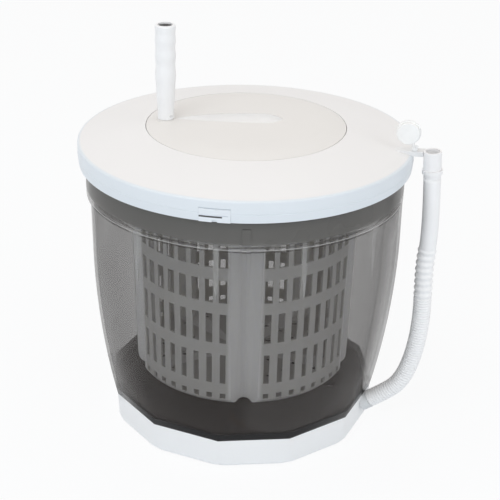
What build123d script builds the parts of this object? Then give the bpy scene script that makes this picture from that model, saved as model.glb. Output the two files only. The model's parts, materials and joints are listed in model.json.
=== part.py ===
from build123d import *
import math
import os

# A hand-cranked table-top washing machine: a smoked twelve-sided tub on a white tray, a slotted
# spinning basket inside it, and a domed lid that carries the crank, its planetary gears and the
# drive shaft. A ribbed hose drains the tub. Millimetres, Z up, front at -Y, origin on the floor
# under the middle of the tub.

# Clearances
RUNNING_GAP = 0.3
SHAFT_GAP = 0.05
SEAT_GAP = 0.1
FIT_GAP = 0.02
SCREW_CLEARANCE = 0.3
HEAD_CLEARANCE = 0.4

# Heights of the main levels
FOOT_HEIGHT = 1.0
TRAY_TOP = 32.5
LEDGE_HEIGHT = 253.5
TUB_RIM = 298.5
LID_SKIRT_BOTTOM = 286.3

# Tub: twelve facets that curve inward towards the foot, cut by a round wall near the top
FACET_FOOT = 135.6
FACET_LOW = 148.8
FACET_LOW_HEIGHT = 105.5
FACET_HIGH = 156.2
FACET_HIGH_HEIGHT = 193.5
FACET_TOP = 157.4
ROUND_WALL_RADIUS = 162.0
BAND_RADIUS = 162.5
TUB_WALL = 2.8
TUB_FLOOR_BOTTOM = 37.5
TUB_FLOOR_THICKNESS = 3.0
TUB_SPIGOT_BOTTOM = 19.5
BAND_RIB_WIDTH = 8.0
BAND_RIB_HEIGHT = 24.0
BAND_RIB_DEPTH = 1.2
BAND_RIB_ANGLE = 10.0
CATCH_DEPTH = 3.0
CATCH_HEIGHT = 2.2
CATCH_BOTTOM = 288.1
CATCH_WIDTH = 20.0

# Tray, feet and tray screws
TRAY_WALL = 2.6
TRAY_FLOOR = 2.6
TRAY_DRAFT = 1.2
TRAY_EDGE_ROUND = 4.0
TRAY_CORNER_LOW = 137.2
TRAY_CORNER_TOP = 140.6
PAD_RADIUS = 9.0
PAD_CIRCLE = 116.0
CENTRE_PAD_RADIUS = 14.0
PAD_COUNT = 6
SCREW_CIRCLE = 106.0
SCREW_SHANK = 1.9
SCREW_HEAD = 3.6
SCREW_HEAD_HEIGHT = 2.2
PILLAR_RADIUS = 6.5
PILLAR_TOP = 22.5
PILLAR_SEAT = 19.5
SCREW_BOSS_RADIUS = 5.0
BASE_SCREW_LENGTH = 15.0

# Basket pivot
PIN_RADIUS = 4.0
PIN_TOP = 75.5
PIN_EMBED = 2.0
PIVOT_BOSS_RADIUS = 12.0
PIVOT_BOSS_TOP = 49.5
WASHER_RADIUS = 9.0
WASHER_THICKNESS = 1.5
BUSH_RADIUS = 6.5
BUSH_FLANGE_RADIUS = 9.0
BUSH_TOP = 73.5

# Basket
BASKET_BOTTOM = 59.5
BASKET_TOP = 273.5
BASKET_RADIUS_LOW = 113.0
BASKET_RADIUS_TOP = 118.2
BASKET_WALL = 2.2
BASKET_CORNER = 8.0
BASKET_RIM_DEPTH = 3.0
BASKET_RIM_LIP = 1.3
HUB_RADIUS = 10.5
HUB_TOP = 80.5
FLUTE_COUNT = 5
FLUTE_ANGLE = 10.7
FLUTE_TIP = 96.2
FLUTE_SIDES = 16
FLUTE_LINE = [(3.2, 97.2), (7.7, 105.0), (13.4, 112.4), (21.0, 121.0)]
SLOT_COLUMNS = 8
SLOT_PITCH = 7.1
SLOT_TOP_WIDTH = 9.4
SLOT_LOW_WIDTH = 6.0
SLOT_OVERCUT = 1.5
SLOT_REACH = 14.0
SLOT_ROWS = [(214.5, 238.5), (176.0, 201.0), (130.5, 163.5), (84.0, 117.5)]
HOLE_ROW = (66.0, 72.0)
FLOOR_HOLE_RADIUS = 4.0
FLOOR_HOLE_CIRCLES = [(10, 36.0), (20, 62.0), (20, 86.0)]

# Basket cover
COVER_THICKNESS = 2.2
COVER_SKIRT_HEIGHT = 6.0
COVER_SKIRT_WALL = 2.0
COVER_BOSS_RADIUS = 16.0
COVER_BOSS_LENGTH = 26.0
COVER_BOSS_ABOVE = 8.0
COVER_HOLE_RADIUS = 9.0
COVER_HOLE_CIRCLE = 62.0

# Drive shaft and its bush
SHAFT_RADIUS = 8.0
SHAFT_HEX = 14.0
SOCKET_PLAY = 0.6
SHAFT_BOTTOM = 263.5
SUN_HEX = 12.0
SHAFT_COLLAR_RADIUS = 10.0
SHAFT_COLLAR_HEIGHT = 2.2
SHAFT_BUSH_RADIUS = 10.5
SHAFT_BUSH_FLANGE = 13.0
SPINDLE_RADIUS = 3.0
SPINDLE_HEAD = 5.0
CLIP_RADIUS = 8.5
CLIP_THICKNESS = 0.8
CLIP_GROOVE_RADIUS = 5.0

# Planetary gears
MODULE = 2.0
SUN_TEETH = 18
PLANET_TEETH = 18
RING_TEETH = SUN_TEETH + 2 * PLANET_TEETH
PRESSURE_ANGLE = 20.0
BACKLASH = 0.25
DEDENDUM = 1.25
GEAR_WIDTH = 8.0
RING_OUTER = 64.0
PLANET_COUNT = 3
PLANET_START_ANGLE = 30.0
PLANET_PIN_RADIUS = 3.0
PLANET_PIN_HEAD = 4.5
PLANET_PIN_HEAD_HEIGHT = 1.0

# Lid
LID_RADIUS = 170.0
LID_SKIRT_DRAFT = 1.0
LID_EDGE_HEIGHT = 308.0
LID_EDGE_ROUND = 2.0
LID_HOLE_RADIUS = 101.5
LID_HOLE_EDGE = 320.8
LID_CROWN = 1.2
LID_WALL = 2.5
SHELF_TOP = 313.0
SHELF_INNER = 88.0
LAND_BOTTOM = 300.8
LAND_INNER = 158.0
LAND_THICKNESS = 2.0
GROOVE_HEIGHT = 295.0
GROOVE_DEPTH = 0.5
GASKET_INNER = 159.5
GASKET_OUTER = 164.5
UNDERPLATE_BOTTOM = 288.5
UNDERPLATE_THICKNESS = 3.0
UNDERPLATE_RADIUS = 150.0
LID_SCREW_CIRCLE = 140.0
LID_BOSS_RADIUS = 4.5
LID_SCREW_LENGTH = 16.0
GLIDE_INNER = 91.0
GLIDE_OUTER = 97.0
GLIDE_THICKNESS = 2.0

# Crank disc and carrier
DISC_GAP = 0.6
DISC_WALL = 2.5
DISC_EDGE = 320.8
DISC_SHOULDER_RADIUS = 81.0
DISC_SHOULDER = 325.5
DISC_CROWN = 328.0
DISC_RIM_BOTTOM = 317.1
CRANK_ANGLE = 9.23
CARRIER_RADIUS = 50.0
CARRIER_BOTTOM = 303.5
CARRIER_THICKNESS = 4.0
CARRIER_BOSS_RADIUS = 6.0
DISC_BOSS_RADIUS = 5.0
DISC_BOSS_CIRCLE = 42.0
DISC_BOSS_START_ANGLE = 90.0
CARRIER_SCREW_LENGTH = 14.0

# Recess for the folded handle, along the disc's diameter from the handle
RECESS_START = -78.0
RECESS_MIDDLE = -28.0
RECESS_MIDDLE_HALF_WIDTH = 11.7
RECESS_WIDEST = 11.0
RECESS_HALF_WIDTH = 14.3
RECESS_END = 37.0
RECESS_LEVEL = 328.1
RECESS_WALL = 2.0

# Handle
HANDLE_PLACE = -81.0
HANDLE_TOP = 422.7
HANDLE_FOOT_RADIUS = 8.6
HANDLE_GRIP_RADIUS = 10.4
HANDLE_WAIST_RADIUS = 9.7
PIVOT_PLACE = -75.5
PIVOT_HEIGHT = 330.1
PIVOT_PIN_RADIUS = 1.5
FOOT_ROUND = 3.4
FORK_SLOT = 6.6
FORK_SLOT_TOP = 6.5
TAB_RADIUS = 3.4
SEAT_PAD_RADIUS = 9.2
GRIP_BORE_RADIUS = 7.4
GRIP_BORE_DEPTH = 24.0
PLUG_RECESS = 1.6
PLUG_LENGTH = 8.0

# Latches at front and back
LATCH_WIDTH = 29.0
LATCH_TOP = 299.8
LATCH_THICKNESS = 2.5
LATCH_PIN_RADIUS = 1.2
LATCH_PIN_RADIUS_OUT = 166.5
LATCH_PIN_HEIGHT = 294.9
LATCH_BARREL = 2.2
LATCH_LINE = 292.6
LATCH_NOTCH_WIDTH = 5.0
LATCH_NOTCH_HEIGHT = 2.2
LATCH_HOOK_HEIGHT = 2.0
LUG_WIDTH = 3.0
LUG_RADIUS = 3.2

# Drain: elbow under the tub, spigot through the tray wall, hose up to the clip on the lid
HOSE_PLANE = -18.0
DRAIN_PLACE = 100.0
DRAIN_HEIGHT = 24.7
DRAIN_HOLE_RADIUS = 6.0
DRAIN_SPOUT_RADIUS = 9.0
DRAIN_SPOUT_LENGTH = 3.0
DRAIN_SEAL_THICKNESS = 1.5
ELBOW_RADIUS = 8.0
ELBOW_PIPE_RADIUS = 6.7
ELBOW_BORE = 5.0
SPIGOT_ANGLE = 33.0
SPIGOT_LENGTH = 22.0
SPIGOT_COLLAR_RADIUS = 9.5
HOSE_BORE = 6.8
RIB_CREST = 9.6
RIB_VALLEY = 8.3
SMOOTH_RADIUS = 8.65
FINE_PITCH = 2.9
COARSE_PITCH = 7.0
FINE_RIBS = 50
COARSE_RIBS = 8
HOSE_ROUTE = [
    (142.2, 27.0),
    (164.84, 41.7),
    (175.4, 55.7),
    (182.5, 74.4),
    (187.9, 99.8),
    (190.7, 131.7),
    (189.9, 165.5),
    (189.5, 193.0),
    (191.7, 216.5),
    (191.7, 251.5),
    (189.9, 286.5),
]
CUFF_RADIUS = 9.0
CUFF_BORE = 7.3
CUFF_START = 8.8
CUFF_LENGTH = 27.5
CUFF_BARB_RADIUS = 6.7
CUFF_BARB_LENGTH = 14.0
COLLAR_RADIUS = 10.25
COLLAR_WALL = 1.5
COLLAR_START = 4.6
COLLAR_LENGTH = 4.0

# Hose clip on the lid, and the stopper on its strap
CLIP_BOTTOM = 306.9
CLIP_HEIGHT = 5.0
CLIP_END = 186.0
CLIP_FRONT = -18.0
CLIP_BACK = -7.0
CLIP_PLAY = 0.5
STOPPER_EYE = (170.836, -17.206, 315.3)
STOPPER_EYE_RADIUS = 3.2
STOPPER_CENTRE = (163.7, -24.0, 331.8)
STOPPER_FACING = (0.0, -1.0, 0.0)
STOPPER_AXIS = (0.40481, -0.64658, 0.64658)
PEG_RADIUS = 1.3
PEG_ROOT = 7.5
PEG_END = 3.4
PEG_HEAD_RADIUS = 1.8
PEG_HEAD_THICKNESS = 1.0
STOPPER_CUP_RADIUS = 10.9
STOPPER_CUP_BORE = 9.3
STOPPER_CUP_DEPTH = 7.0
STOPPER_END_THICKNESS = 2.0
STOPPER_BRIM_RADIUS = 12.3
STOPPER_BRIM_THICKNESS = 1.6
STRAP_WIDTH = 5.0

BASE = (Align.CENTER, Align.CENTER, Align.MIN)
REACH = 400.0
FACET_PAIRS = 6
HALF_FACET = 15.0
TRAY_BOTTOM = FOOT_HEIGHT
TRAY_FLOOR_TOP = TRAY_BOTTOM + TRAY_FLOOR
TUB_FLOOR_TOP = TUB_FLOOR_BOTTOM + TUB_FLOOR_THICKNESS
UNDERPLATE_TOP = UNDERPLATE_BOTTOM + UNDERPLATE_THICKNESS
SHAFT_BUSH_TOP = UNDERPLATE_TOP + 2.0
SHAFT_BUSH_BOTTOM = UNDERPLATE_BOTTOM - 2.0
GEAR_BOTTOM = SHAFT_BUSH_TOP + RUNNING_GAP
GEAR_TOP = GEAR_BOTTOM + GEAR_WIDTH
PLANET_CIRCLE = MODULE * (SUN_TEETH + PLANET_TEETH) / 2
CARRIER_TOP = CARRIER_BOTTOM + CARRIER_THICKNESS
SHAFT_TOP = CARRIER_BOTTOM - RUNNING_GAP
DISC_RADIUS = LID_HOLE_RADIUS - DISC_GAP
LATCH_OPENING_TOP = LATCH_TOP + RUNNING_GAP
ELBOW_BOTTOM = DRAIN_HEIGHT - ELBOW_RADIUS


def rod(radius, low, high):
    return Pos(0, 0, low) * Cylinder(radius, high - low, align=BASE)


def ring(outer, inner, low, high):
    return rod(outer, low, high) - rod(inner, low, high)


def hex_rod(across_flats, low, high):
    outline = RegularPolygon(across_flats / 2, 6, major_radius=False)
    return extrude(Pos(0, 0, low) * outline, high - low)


def turned(points):
    """Solid turned about Z from an outline of (radius, height) corners."""
    return revolve(Plane.XZ * Polygon(*points, align=None), Axis.Z)


def outline_face(lines):
    """Flat face inside a closed run of lines and arcs."""
    return make_face([edge for line in lines for edge in line.edges()])


def turned_lines(lines):
    """Solid turned about Z from a closed run of lines and arcs given as (radius, height)."""
    return revolve(Plane.XZ * outline_face(lines), Axis.Z)


def around(solid, angles):
    return [Rot(0, 0, angle) * solid for angle in angles]


def even_angles(count, start=0.0):
    return [start + 360.0 * step / count for step in range(count)]


def save(node, *solids):
    shape = solids[0] if len(solids) == 1 else Compound(children=list(solids))
    export_step(shape, "parts/" + node + ".step")


# Twelve-sided tub

def facet_slab(inset):
    """The space between two opposite facets, drawn in by inset, from the tray's top to the ledge."""
    ledge = LEDGE_HEIGHT + inset
    foot = FACET_FOOT - inset
    low = (FACET_LOW - inset, FACET_LOW_HEIGHT)
    high = (FACET_HIGH - inset, FACET_HIGH_HEIGHT)
    top = (FACET_TOP - inset, ledge)
    lines = [
        Line((-foot, TRAY_TOP), (foot, TRAY_TOP)),
        ThreePointArc((foot, TRAY_TOP), low, high),
        Line(high, top),
        Line(top, (-top[0], top[1])),
        Line((-top[0], top[1]), (-high[0], high[1])),
        ThreePointArc((-high[0], high[1]), (-low[0], low[1]), (-foot, TRAY_TOP)),
    ]
    return extrude(Plane.XZ * outline_face(lines), REACH, both=True)


def faceted(inset):
    slabs = around(facet_slab(inset), even_angles(2 * FACET_PAIRS, HALF_FACET)[:FACET_PAIRS])
    body = slabs[0]
    for slab in slabs[1:]:
        body = body & slab
    return body & rod(ROUND_WALL_RADIUS - inset, 0, REACH)


def twelve_sided(in_radius, low, high, draft=0.0):
    """Straight twelve-sided block with its corners on the X and Y axes."""
    bottom = Pos(0, 0, low) * RegularPolygon(in_radius - draft, 12, major_radius=False)
    top = Pos(0, 0, high) * RegularPolygon(in_radius, 12, major_radius=False)
    return loft([bottom, top], ruled=True)


def tray_form(inset, low, high):
    """Twelve-sided form of the tray, drawn in by inset, its corners rounder towards the floor."""
    block = twelve_sided(FACET_FOOT - inset, TRAY_BOTTOM, TRAY_TOP, TRAY_DRAFT)
    block &= turned([
        (0, TRAY_BOTTOM), (TRAY_CORNER_LOW - inset, TRAY_BOTTOM), (TRAY_CORNER_TOP - inset, TRAY_TOP), (0, TRAY_TOP),
    ])
    return block & rod(REACH, low, high)


def tub():
    outside = faceted(0) + rod(BAND_RADIUS, LEDGE_HEIGHT, TUB_RIM)
    inside = faceted(TUB_WALL) & rod(REACH, TUB_FLOOR_TOP, REACH)
    band_space = rod(BAND_RADIUS - TUB_WALL, LEDGE_HEIGHT + TUB_WALL, TUB_RIM)
    shell = outside - inside - band_space
    spigot_inset = TRAY_WALL + RUNNING_GAP
    cavity_inset = spigot_inset + TUB_WALL
    shell += tray_form(spigot_inset, TUB_SPIGOT_BOTTOM, TRAY_TOP)
    shell -= tray_form(cavity_inset, TUB_SPIGOT_BOTTOM, TRAY_TOP)
    shell -= twelve_sided(FACET_FOOT - cavity_inset, TRAY_TOP, TUB_FLOOR_BOTTOM)
    shell += rod(PIVOT_BOSS_RADIUS, TUB_FLOOR_BOTTOM, PIVOT_BOSS_TOP)
    shell -= rod(PIN_RADIUS, TUB_FLOOR_TOP - PIN_EMBED, PIN_TOP)
    for angle in even_angles(PAD_COUNT, 30):
        place = Rot(0, 0, angle) * Pos(SCREW_CIRCLE, 0, 0)
        shell += place * rod(SCREW_BOSS_RADIUS, PILLAR_TOP + SEAT_GAP, TUB_FLOOR_BOTTOM)
        shell -= place * rod(SCREW_SHANK + FIT_GAP, PILLAR_TOP, TUB_FLOOR_BOTTOM - 1)
    drain = Pos(DRAIN_PLACE, HOSE_PLANE, 0)
    shell += drain * rod(DRAIN_SPOUT_RADIUS, TUB_FLOOR_BOTTOM - DRAIN_SPOUT_LENGTH, TUB_FLOOR_BOTTOM)
    shell -= drain * rod(DRAIN_HOLE_RADIUS, 0, TUB_FLOOR_TOP + 1)
    shell -= drain_passage()
    rib = Pos(BAND_RADIUS, 0, LEDGE_HEIGHT) * Box(2 * BAND_RIB_DEPTH, BAND_RIB_WIDTH, BAND_RIB_HEIGHT,
                                                 align=BASE)
    catch_ring = ring(BAND_RADIUS + CATCH_DEPTH, BAND_RADIUS - 1, CATCH_BOTTOM, CATCH_BOTTOM + CATCH_HEIGHT)
    catch = catch_ring & (Pos(0, -BAND_RADIUS, CATCH_BOTTOM) * Box(CATCH_WIDTH, 20, CATCH_HEIGHT, align=BASE))
    for turn in (0, 180):
        shell += Rot(0, 0, turn + BAND_RIB_ANGLE - 90) * rib
        shell += Rot(0, 0, turn) * catch
    return shell


def drain_passage():
    """Room for the drain pipe through the tub's spigot and the tray's wall."""
    room = Pos(DRAIN_PLACE, HOSE_PLANE, DRAIN_HEIGHT) * Rot(0, 90, 0)
    return room * rod(ELBOW_PIPE_RADIUS + SEAT_GAP, 0, 60)


# Tray and what fastens it

def base_tray():
    tray = tray_form(0, TRAY_BOTTOM, TRAY_TOP)
    tray = fillet(tray.faces().sort_by(Axis.Z)[0].edges(), TRAY_EDGE_ROUND)
    tray -= tray_form(TRAY_WALL, TRAY_FLOOR_TOP, TRAY_TOP)
    tray += Pos(DRAIN_PLACE, HOSE_PLANE, 0) * ring(
        ELBOW_RADIUS, ELBOW_BORE, TRAY_BOTTOM + TRAY_FLOOR / 2, ELBOW_BOTTOM - SEAT_GAP)
    for angle in even_angles(PAD_COUNT, 30):
        place = Rot(0, 0, angle) * Pos(SCREW_CIRCLE, 0, 0)
        tray += place * rod(PILLAR_RADIUS, TRAY_BOTTOM, PILLAR_TOP)
        tray -= place * rod(SCREW_HEAD + HEAD_CLEARANCE, TRAY_BOTTOM, PILLAR_SEAT)
        tray -= place * rod(SCREW_SHANK + SCREW_CLEARANCE, PILLAR_SEAT, PILLAR_TOP)
    return tray - drain_passage()


def screw(seat, length):
    """Screw pointing up, its head under the seat height."""
    head = rod(SCREW_HEAD, seat - SCREW_HEAD_HEIGHT, seat)
    return head + rod(SCREW_SHANK, seat, seat + length)


def base_screws():
    one = Pos(SCREW_CIRCLE, 0, 0) * screw(PILLAR_SEAT, BASE_SCREW_LENGTH)
    return around(one, even_angles(PAD_COUNT, 30))


def rubber_feet():
    one = Pos(PAD_CIRCLE, 0, 0) * rod(PAD_RADIUS, 0, FOOT_HEIGHT)
    return around(one, even_angles(PAD_COUNT)) + [rod(CENTRE_PAD_RADIUS, 0, FOOT_HEIGHT)]


# Basket and its pivot

def basket_pivot_pin():
    low = TUB_FLOOR_TOP - PIN_EMBED
    return turned([(0, low), (PIN_RADIUS, low), (PIN_RADIUS, PIN_TOP - 2), (PIN_RADIUS - 2, PIN_TOP), (0, PIN_TOP)])


def thrust_washer():
    return ring(WASHER_RADIUS, PIN_RADIUS + SHAFT_GAP, PIVOT_BOSS_TOP, PIVOT_BOSS_TOP + WASHER_THICKNESS)


def basket_bush():
    bore = PIN_RADIUS + SHAFT_GAP
    low = PIVOT_BOSS_TOP + WASHER_THICKNESS + RUNNING_GAP
    return turned([
        (bore, low), (BUSH_FLANGE_RADIUS, low), (BUSH_FLANGE_RADIUS, BASKET_BOTTOM),
        (BUSH_RADIUS, BASKET_BOTTOM), (BUSH_RADIUS, BUSH_TOP), (bore, BUSH_TOP),
    ])


def flute_outline(grow):
    """Bell-shaped outline of a flute on the -Y side, grown all round."""
    side = [(across, -out) for across, out in FLUTE_LINE]
    far_side = [(-x, y) for x, y in side]
    bell = Spline(*side[::-1], (0, -FLUTE_TIP), *far_side)
    corners = [bell @ (step / FLUTE_SIDES) for step in range(FLUTE_SIDES + 1)]
    face = outline_face([Polyline(*corners, close=True)])
    return offset(face, grow) if grow else face


def flutes(grow, low, high):
    one = extrude(Pos(0, 0, low) * flute_outline(grow), high - low)
    return around(one, even_angles(FLUTE_COUNT, FLUTE_ANGLE))


def basket_radius(height):
    share = (height - BASKET_BOTTOM) / (BASKET_TOP - BASKET_BOTTOM)
    return BASKET_RADIUS_LOW + share * (BASKET_RADIUS_TOP - BASKET_RADIUS_LOW)


def basket_form(inset, low, high, corner):
    """Tapered round form with a rounded lower corner."""
    radius_low = basket_radius(low) - inset
    radius_high = basket_radius(high) - inset
    form = turned([(0, low), (radius_low, low), (radius_high, high), (0, high)])
    return fillet(form.edges().filter_by(GeomType.CIRCLE).sort_by(Axis.Z)[0], corner)


def slot_cutters():
    """Upright slots, eight columns between each two flutes, narrower row by row."""
    cutters = []
    group_turn = 360.0 / FLUTE_COUNT
    first = group_turn / 2 - SLOT_PITCH * (SLOT_COLUMNS - 1) / 2
    steps = len(SLOT_ROWS) - 1
    rows = [(low, high, SLOT_TOP_WIDTH - (SLOT_TOP_WIDTH - SLOT_LOW_WIDTH) * row / steps)
            for row, (low, high) in enumerate(SLOT_ROWS)]
    rows.append((HOLE_ROW[0], HOLE_ROW[1], SLOT_LOW_WIDTH))
    for group in range(FLUTE_COUNT):
        for column in range(SLOT_COLUMNS):
            angle = FLUTE_ANGLE + group * group_turn + first + column * SLOT_PITCH
            for low, high, width in rows:
                inner_face = basket_radius(low) - BASKET_WALL - SLOT_OVERCUT
                slot = Pos(0, -inner_face - SLOT_REACH / 2, low) * Box(width, SLOT_REACH, high - low, align=BASE)
                cutters.append(Rot(0, 0, angle) * slot)
    return cutters


def basket():
    outside = basket_form(0, BASKET_BOTTOM, BASKET_TOP, BASKET_CORNER)
    inside = basket_form(BASKET_WALL, BASKET_BOTTOM + BASKET_WALL, BASKET_TOP, BASKET_CORNER - BASKET_WALL)
    shell = outside - inside
    rim_low = BASKET_TOP - BASKET_RIM_DEPTH
    shell += ring(BASKET_RADIUS_TOP + BASKET_RIM_LIP, BASKET_RADIUS_TOP - BASKET_WALL, rim_low, BASKET_TOP)
    folds = Compound(children=flutes(BASKET_WALL, BASKET_BOTTOM, BASKET_TOP))
    shell += outside & folds
    shell -= flutes(0, 0, REACH)
    shell -= slot_cutters()
    shell += rod(HUB_RADIUS, BASKET_BOTTOM, HUB_TOP)
    shell -= rod(BUSH_RADIUS, 0, HUB_TOP - BASKET_WALL)
    for count, circle in FLOOR_HOLE_CIRCLES:
        hole = Pos(0, -circle, 0) * rod(FLOOR_HOLE_RADIUS, 0, BASKET_BOTTOM + 2 * BASKET_WALL)
        shell -= around(hole, even_angles(count, FLUTE_ANGLE + 180.0 / count))
    return shell


def basket_cover():
    low = BASKET_TOP
    inner = BASKET_RADIUS_TOP - BASKET_WALL - RUNNING_GAP - 0.3
    cover = rod(BASKET_RADIUS_TOP, low, low + COVER_THICKNESS)
    cover += ring(inner, inner - COVER_SKIRT_WALL, low - COVER_SKIRT_HEIGHT, low)
    cover -= flutes(BASKET_WALL + RUNNING_GAP, 0, low)
    cover -= flutes(0, low, REACH)
    boss_top = low + COVER_THICKNESS + COVER_BOSS_ABOVE
    cover += rod(COVER_BOSS_RADIUS, boss_top - COVER_BOSS_LENGTH, boss_top)
    cover -= hex_rod(SHAFT_HEX + SOCKET_PLAY, SHAFT_BOTTOM - 2, boss_top)
    hole = Pos(0, -COVER_HOLE_CIRCLE, 0) * rod(COVER_HOLE_RADIUS, 0, REACH)
    return cover - around(hole, even_angles(FLUTE_COUNT, FLUTE_ANGLE + 180.0 / FLUTE_COUNT))


# Gears

def involute(angle):
    return math.tan(angle) - angle


def gear_outline(teeth, root, tip, thickening):
    """Outline of a toothed disc with a tooth centred on X. The flanks are involutes of the teeth."""
    pitch = MODULE * teeth / 2
    base = pitch * math.cos(math.radians(PRESSURE_ANGLE))
    half_at_pitch = math.pi / (2 * teeth) + thickening / (2 * pitch)
    start = max(base, root)
    flank_steps = 4
    half_tooth = []
    for step in range(flank_steps):
        radius = start + (tip - start) * step / (flank_steps - 1)
        roll = involute(math.radians(PRESSURE_ANGLE)) - involute(math.acos(base / radius))
        half_tooth.append((radius, half_at_pitch + roll))
    if root < base:
        half_tooth.insert(0, (root, half_tooth[0][1]))
    one_tooth = [(radius, -angle) for radius, angle in half_tooth] + half_tooth[::-1]
    points = []
    for tooth in range(teeth):
        turn = 2 * math.pi * tooth / teeth
        for radius, angle in one_tooth:
            points.append((radius * math.cos(angle + turn), radius * math.sin(angle + turn)))
    return Polygon(*points, align=None)


def outer_gear(teeth):
    pitch = MODULE * teeth / 2
    outline = gear_outline(teeth, pitch - DEDENDUM * MODULE, pitch + MODULE, -BACKLASH)
    return extrude(Pos(0, 0, GEAR_BOTTOM) * outline, GEAR_WIDTH)


def planet_angles():
    return even_angles(PLANET_COUNT, CRANK_ANGLE + PLANET_START_ANGLE)


def ring_gear():
    """Fixed ring: a disc less the shape of an outer gear whose spaces are the ring's teeth."""
    pitch = MODULE * RING_TEETH / 2
    outline = gear_outline(RING_TEETH, pitch - MODULE, pitch + DEDENDUM * MODULE, BACKLASH)
    half_tooth = 180.0 / RING_TEETH
    space = extrude(Pos(0, 0, UNDERPLATE_TOP) * outline, REACH)
    body = rod(RING_OUTER, UNDERPLATE_TOP, GEAR_TOP + 0.7)
    return body - Rot(0, 0, CRANK_ANGLE + PLANET_START_ANGLE + half_tooth) * space


def sun_gear():
    gear = Rot(0, 0, CRANK_ANGLE + PLANET_START_ANGLE) * outer_gear(SUN_TEETH)
    return gear - hex_rod(SUN_HEX, GEAR_BOTTOM, GEAR_TOP)


def planet_gear(angle):
    """Planet with a space towards the sun gear and a space towards the ring."""
    half_tooth = 180.0 / PLANET_TEETH
    gear = Rot(0, 0, half_tooth) * outer_gear(PLANET_TEETH)
    gear -= rod(PLANET_PIN_RADIUS + SHAFT_GAP, GEAR_BOTTOM, GEAR_TOP)
    return Rot(0, 0, angle) * Pos(PLANET_CIRCLE, 0, 0) * gear


# Drive shaft

def drive_shaft():
    collar_top = SHAFT_BUSH_BOTTOM - RUNNING_GAP
    collar_low = collar_top - SHAFT_COLLAR_HEIGHT
    shaft = hex_rod(SHAFT_HEX, SHAFT_BOTTOM, collar_low)
    shaft += rod(SHAFT_COLLAR_RADIUS, collar_low, collar_top)
    shaft += rod(SHAFT_RADIUS, collar_top, GEAR_BOTTOM)
    shaft += hex_rod(SUN_HEX, GEAR_BOTTOM, GEAR_TOP)
    shaft += rod(SUN_HEX / 2, GEAR_TOP, SHAFT_TOP)
    groove_top = GEAR_TOP + 0.1 + CLIP_THICKNESS
    shaft -= ring(SUN_HEX, CLIP_GROOVE_RADIUS, GEAR_TOP + 0.1, groove_top)
    return shaft - rod(SPINDLE_RADIUS + SHAFT_GAP, GEAR_BOTTOM - 2, SHAFT_TOP)


def shaft_clip():
    low = GEAR_TOP + 0.1
    clip = ring(CLIP_RADIUS, CLIP_GROOVE_RADIUS, low, low + CLIP_THICKNESS)
    mouth = Pos(CLIP_RADIUS, 0, low) * Box(CLIP_RADIUS, CLIP_GROOVE_RADIUS, CLIP_THICKNESS, align=BASE)
    return clip - mouth


def drive_bush():
    bore = SHAFT_RADIUS + SHAFT_GAP
    return turned([
        (bore, SHAFT_BUSH_BOTTOM), (SHAFT_BUSH_RADIUS, SHAFT_BUSH_BOTTOM),
        (SHAFT_BUSH_RADIUS, UNDERPLATE_TOP), (SHAFT_BUSH_FLANGE, UNDERPLATE_TOP),
        (SHAFT_BUSH_FLANGE, SHAFT_BUSH_TOP), (bore, SHAFT_BUSH_TOP),
    ])


# Lid

def lid_dome_line(drop, hole, edge):
    """The dome's line from its hole to its edge, lowered by drop."""
    start = (hole, LID_HOLE_EDGE - drop)
    end = (edge, LID_EDGE_HEIGHT - drop)
    middle = ((hole + edge) / 2, (start[1] + end[1]) / 2 + LID_CROWN)
    return ThreePointArc(start, middle, end)


def lid_outline():
    outer_edge = LID_RADIUS - LID_EDGE_ROUND
    side_top = LID_EDGE_HEIGHT - LID_EDGE_ROUND
    inner = LID_RADIUS - LID_WALL
    shelf_wall = LID_HOLE_RADIUS + LID_WALL
    skirt_low = LID_RADIUS - LID_SKIRT_DRAFT
    diagonal = LID_EDGE_ROUND * (1 - math.sqrt(0.5))
    dome_in = lid_dome_line(LID_WALL, shelf_wall, inner - 1)
    dome_out = lid_dome_line(0, LID_HOLE_RADIUS, outer_edge)
    corners_in = [
        dome_in @ 1, (inner, LID_EDGE_HEIGHT - LID_WALL - 1), (inner, LAND_BOTTOM + LAND_THICKNESS),
        (LAND_INNER, LAND_BOTTOM + LAND_THICKNESS), (LAND_INNER, LAND_BOTTOM), (inner, LAND_BOTTOM),
        (skirt_low - LID_WALL, LID_SKIRT_BOTTOM), (skirt_low, LID_SKIRT_BOTTOM),
        (LID_RADIUS - 0.1, GROOVE_HEIGHT - GROOVE_DEPTH),
        (LID_RADIUS - GROOVE_DEPTH, GROOVE_HEIGHT), (LID_RADIUS, GROOVE_HEIGHT + GROOVE_DEPTH),
        (LID_RADIUS, side_top),
    ]
    corners_hole = [
        dome_out @ 0, (LID_HOLE_RADIUS, SHELF_TOP), (SHELF_INNER, SHELF_TOP),
        (SHELF_INNER, SHELF_TOP - LID_WALL), (shelf_wall, SHELF_TOP - LID_WALL), dome_in @ 0,
    ]
    return [
        dome_in,
        Polyline(*corners_in),
        ThreePointArc((LID_RADIUS, side_top), (LID_RADIUS - diagonal, LID_EDGE_HEIGHT - diagonal),
                      (outer_edge, LID_EDGE_HEIGHT)),
        dome_out,
        Polyline(*corners_hole),
    ]


def latch_opening():
    width = LATCH_WIDTH + 2 * RUNNING_GAP
    height = LATCH_OPENING_TOP - LID_SKIRT_BOTTOM + 1
    return Pos(0, -LID_RADIUS, LID_SKIRT_BOTTOM - 1) * Box(width, 2 * (LID_WALL + 3), height, align=BASE)


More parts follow.
